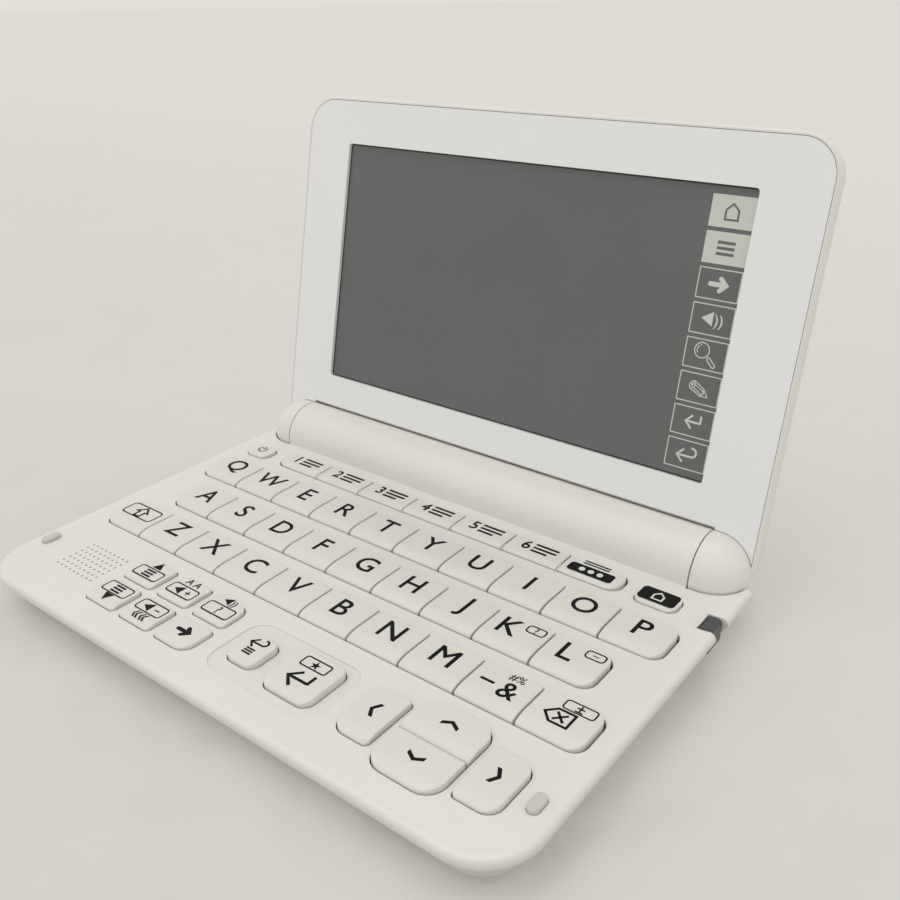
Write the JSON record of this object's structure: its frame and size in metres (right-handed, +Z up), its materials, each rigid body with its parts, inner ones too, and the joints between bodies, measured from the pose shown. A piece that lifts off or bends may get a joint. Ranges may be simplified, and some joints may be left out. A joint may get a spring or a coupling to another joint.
{
  "type": "electronic dictionary",
  "caption": "Clamshell electronic dictionary with a keyboard base, a barrel hinge that houses the cells, a tilting lid with a wide display, a battery door and a side-stowed stylus.",
  "frame": {"origin": "centre of the bounding box in X and Y, at the height of the surface the feet stand on, with the lid at its rest opening", "axes": "+X to the user's right along the hinge, +Y to the back, +Z up"},
  "size_m": [0.148, 0.1222, 0.1014],
  "materials": {
    "ivory_plastic": "glossy moulded ABS, warm ivory white",
    "key_plastic": "satin moulded keys, off-white",
    "bezel_plastic": "smooth pale grey-white bezel",
    "display_glass": "dark grey liquid-crystal display seen through clear glass",
    "display_panel": "metal back of the display module",
    "cell_steel": "printed steel can of an AA cell",
    "contact_steel": "sprung contact strip",
    "circuit_board": "fibreglass circuit board with solder mask",
    "key_rubber": "moulded silicone membrane",
    "speaker_plastic": "black speaker frame and cone",
    "foot_rubber": "matt grey rubber",
    "bumper_rubber": "pale grey soft rubber",
    "screw_steel": "zinc-plated screws",
    "hinge_steel": "turned steel",
    "socket_plastic": "black socket moulding",
    "socket_steel": "plated socket shell",
    "stylus_plastic": "charcoal plastic stylus"
  },
  "bodies": {
    "base": {"base_top_case": "ivory_plastic", "base_bottom_case": "ivory_plastic", "battery_cells": "cell_steel", "battery_contacts": "contact_steel", "main_board": "circuit_board", "key_membrane": "key_rubber", "speaker": "speaker_plastic", "rubber_feet": "foot_rubber", "case_screws": "screw_steel", "deck_bumpers": "bumper_rubber", "hinge_bushes": "hinge_steel", "earphone_jack": "socket_plastic", "usb_socket": "socket_steel"},
    "lid": {"lid_rear_shell": "ivory_plastic", "lid_bezel": "bezel_plastic", "display_glass": "display_glass", "display_panel": "display_panel", "hinge_pins": "hinge_steel"},
    "door": {"battery_door": "ivory_plastic"},
    "pen": {"stylus": "stylus_plastic"},
    "press_key_q": {"key_q": "key_plastic"},
    "press_key_w": {"key_w": "key_plastic"},
    "press_key_e": {"key_e": "key_plastic"},
    "press_key_r": {"key_r": "key_plastic"},
    "press_key_t": {"key_t": "key_plastic"},
    "press_key_y": {"key_y": "key_plastic"},
    "press_key_u": {"key_u": "key_plastic"},
    "press_key_i": {"key_i": "key_plastic"},
    "press_key_o": {"key_o": "key_plastic"},
    "press_key_p": {"key_p": "key_plastic"},
    "press_key_a": {"key_a": "key_plastic"},
    "press_key_s": {"key_s": "key_plastic"},
    "press_key_d": {"key_d": "key_plastic"},
    "press_key_f": {"key_f": "key_plastic"},
    "press_key_g": {"key_g": "key_plastic"},
    "press_key_h": {"key_h": "key_plastic"},
    "press_key_j": {"key_j": "key_plastic"},
    "press_key_k": {"key_k": "key_plastic"},
    "press_key_l": {"key_l": "key_plastic"},
    "press_key_shift": {"key_shift": "key_plastic"},
    "press_key_z": {"key_z": "key_plastic"},
    "press_key_x": {"key_x": "key_plastic"},
    "press_key_c": {"key_c": "key_plastic"},
    "press_key_v": {"key_v": "key_plastic"},
    "press_key_b": {"key_b": "key_plastic"},
    "press_key_n": {"key_n": "key_plastic"},
    "press_key_m": {"key_m": "key_plastic"},
    "press_key_symbol": {"key_symbol": "key_plastic"},
    "press_key_delete": {"key_delete": "key_plastic"},
    "press_dictionary_keys": {"dictionary_keys": "key_plastic"},
    "press_key_menu": {"key_menu": "key_plastic"},
    "press_function_keys": {"function_keys": "key_plastic"},
    "press_key_power": {"key_power": "key_plastic"},
    "press_key_home": {"key_home": "key_plastic"},
    "press_key_back": {"key_back": "key_plastic"},
    "press_key_enter": {"key_enter": "key_plastic"},
    "press_key_left": {"key_left": "key_plastic"},
    "press_key_right": {"key_right": "key_plastic"},
    "press_key_down": {"key_down": "key_plastic"},
    "press_key_up": {"key_up": "key_plastic"}
  },
  "joints": [
    {"name": "lid_hinge", "type": "hinge", "parent": "base", "child": "lid", "pos_m": [0, 0.03517, 0.0106], "axis": [-1, 0, 0], "range_deg": [-102.5, 47.5]},
    {"name": "battery_door_slide", "type": "slide", "parent": "base", "child": "door", "axis": [0, 1, 0], "range_m": [0, 0.004]},
    {"name": "stylus_draw", "type": "slide", "parent": "base", "child": "pen", "axis": [1, 0, 0], "range_m": [0, 0.008]},
    {"name": "key_q_press", "type": "slide", "parent": "base", "child": "press_key_q", "axis": [0, 0, -1], "range_m": [0, 0.0008], "stiffness_N_per_m": 800},
    {"name": "key_w_press", "type": "slide", "parent": "base", "child": "press_key_w", "axis": [0, 0, -1], "range_m": [0, 0.0008], "stiffness_N_per_m": 800},
    {"name": "key_e_press", "type": "slide", "parent": "base", "child": "press_key_e", "axis": [0, 0, -1], "range_m": [0, 0.0008], "stiffness_N_per_m": 800},
    {"name": "key_r_press", "type": "slide", "parent": "base", "child": "press_key_r", "axis": [0, 0, -1], "range_m": [0, 0.0008], "stiffness_N_per_m": 800},
    {"name": "key_t_press", "type": "slide", "parent": "base", "child": "press_key_t", "axis": [0, 0, -1], "range_m": [0, 0.0008], "stiffness_N_per_m": 800},
    {"name": "key_y_press", "type": "slide", "parent": "base", "child": "press_key_y", "axis": [0, 0, -1], "range_m": [0, 0.0008], "stiffness_N_per_m": 800},
    {"name": "key_u_press", "type": "slide", "parent": "base", "child": "press_key_u", "axis": [0, 0, -1], "range_m": [0, 0.0008], "stiffness_N_per_m": 800},
    {"name": "key_i_press", "type": "slide", "parent": "base", "child": "press_key_i", "axis": [0, 0, -1], "range_m": [0, 0.0008], "stiffness_N_per_m": 800},
    {"name": "key_o_press", "type": "slide", "parent": "base", "child": "press_key_o", "axis": [0, 0, -1], "range_m": [0, 0.0008], "stiffness_N_per_m": 800},
    {"name": "key_p_press", "type": "slide", "parent": "base", "child": "press_key_p", "axis": [0, 0, -1], "range_m": [0, 0.0008], "stiffness_N_per_m": 800},
    {"name": "key_a_press", "type": "slide", "parent": "base", "child": "press_key_a", "axis": [0, 0, -1], "range_m": [0, 0.0008], "stiffness_N_per_m": 800},
    {"name": "key_s_press", "type": "slide", "parent": "base", "child": "press_key_s", "axis": [0, 0, -1], "range_m": [0, 0.0008], "stiffness_N_per_m": 800},
    {"name": "key_d_press", "type": "slide", "parent": "base", "child": "press_key_d", "axis": [0, 0, -1], "range_m": [0, 0.0008], "stiffness_N_per_m": 800},
    {"name": "key_f_press", "type": "slide", "parent": "base", "child": "press_key_f", "axis": [0, 0, -1], "range_m": [0, 0.0008], "stiffness_N_per_m": 800},
    {"name": "key_g_press", "type": "slide", "parent": "base", "child": "press_key_g", "axis": [0, 0, -1], "range_m": [0, 0.0008], "stiffness_N_per_m": 800},
    {"name": "key_h_press", "type": "slide", "parent": "base", "child": "press_key_h", "axis": [0, 0, -1], "range_m": [0, 0.0008], "stiffness_N_per_m": 800},
    {"name": "key_j_press", "type": "slide", "parent": "base", "child": "press_key_j", "axis": [0, 0, -1], "range_m": [0, 0.0008], "stiffness_N_per_m": 800},
    {"name": "key_k_press", "type": "slide", "parent": "base", "child": "press_key_k", "axis": [0, 0, -1], "range_m": [0, 0.0008], "stiffness_N_per_m": 800},
    {"name": "key_l_press", "type": "slide", "parent": "base", "child": "press_key_l", "axis": [0, 0, -1], "range_m": [0, 0.0008], "stiffness_N_per_m": 800},
    {"name": "key_shift_press", "type": "slide", "parent": "base", "child": "press_key_shift", "axis": [0, 0, -1], "range_m": [0, 0.0008], "stiffness_N_per_m": 800},
    {"name": "key_z_press", "type": "slide", "parent": "base", "child": "press_key_z", "axis": [0, 0, -1], "range_m": [0, 0.0008], "stiffness_N_per_m": 800},
    {"name": "key_x_press", "type": "slide", "parent": "base", "child": "press_key_x", "axis": [0, 0, -1], "range_m": [0, 0.0008], "stiffness_N_per_m": 800},
    {"name": "key_c_press", "type": "slide", "parent": "base", "child": "press_key_c", "axis": [0, 0, -1], "range_m": [0, 0.0008], "stiffness_N_per_m": 800},
    {"name": "key_v_press", "type": "slide", "parent": "base", "child": "press_key_v", "axis": [0, 0, -1], "range_m": [0, 0.0008], "stiffness_N_per_m": 800},
    {"name": "key_b_press", "type": "slide", "parent": "base", "child": "press_key_b", "axis": [0, 0, -1], "range_m": [0, 0.0008], "stiffness_N_per_m": 800},
    {"name": "key_n_press", "type": "slide", "parent": "base", "child": "press_key_n", "axis": [0, 0, -1], "range_m": [0, 0.0008], "stiffness_N_per_m": 800},
    {"name": "key_m_press", "type": "slide", "parent": "base", "child": "press_key_m", "axis": [0, 0, -1], "range_m": [0, 0.0008], "stiffness_N_per_m": 800},
    {"name": "key_symbol_press", "type": "slide", "parent": "base", "child": "press_key_symbol", "axis": [0, 0, -1], "range_m": [0, 0.0008], "stiffness_N_per_m": 800},
    {"name": "key_delete_press", "type": "slide", "parent": "base", "child": "press_key_delete", "axis": [0, 0, -1], "range_m": [0, 0.0008], "stiffness_N_per_m": 800},
    {"name": "dictionary_keys_press", "type": "slide", "parent": "base", "child": "press_dictionary_keys", "axis": [0, 0, -1], "range_m": [0, 0.0008], "stiffness_N_per_m": 800},
    {"name": "key_menu_press", "type": "slide", "parent": "base", "child": "press_key_menu", "axis": [0, 0, -1], "range_m": [0, 0.0008], "stiffness_N_per_m": 800},
    {"name": "function_keys_press", "type": "slide", "parent": "base", "child": "press_function_keys", "axis": [0, 0, -1], "range_m": [0, 0.0008], "stiffness_N_per_m": 800},
    {"name": "key_power_press", "type": "slide", "parent": "base", "child": "press_key_power", "axis": [0, 0, -1], "range_m": [0, 0.0008], "stiffness_N_per_m": 800},
    {"name": "key_home_press", "type": "slide", "parent": "base", "child": "press_key_home", "axis": [0, 0, -1], "range_m": [0, 0.0008], "stiffness_N_per_m": 800},
    {"name": "key_back_press", "type": "slide", "parent": "base", "child": "press_key_back", "axis": [0, 0, -1], "range_m": [0, 0.0008], "stiffness_N_per_m": 800},
    {"name": "key_enter_press", "type": "slide", "parent": "base", "child": "press_key_enter", "axis": [0, 0, -1], "range_m": [0, 0.0008], "stiffness_N_per_m": 800},
    {"name": "key_left_press", "type": "slide", "parent": "base", "child": "press_key_left", "axis": [0, 0, -1], "range_m": [0, 0.0008], "stiffness_N_per_m": 800},
    {"name": "key_right_press", "type": "slide", "parent": "base", "child": "press_key_right", "axis": [0, 0, -1], "range_m": [0, 0.0008], "stiffness_N_per_m": 800},
    {"name": "key_down_press", "type": "slide", "parent": "base", "child": "press_key_down", "axis": [0, 0, -1], "range_m": [0, 0.0008], "stiffness_N_per_m": 800},
    {"name": "key_up_press", "type": "slide", "parent": "base", "child": "press_key_up", "axis": [0, 0, -1], "range_m": [0, 0.0008], "stiffness_N_per_m": 800}
  ]
}
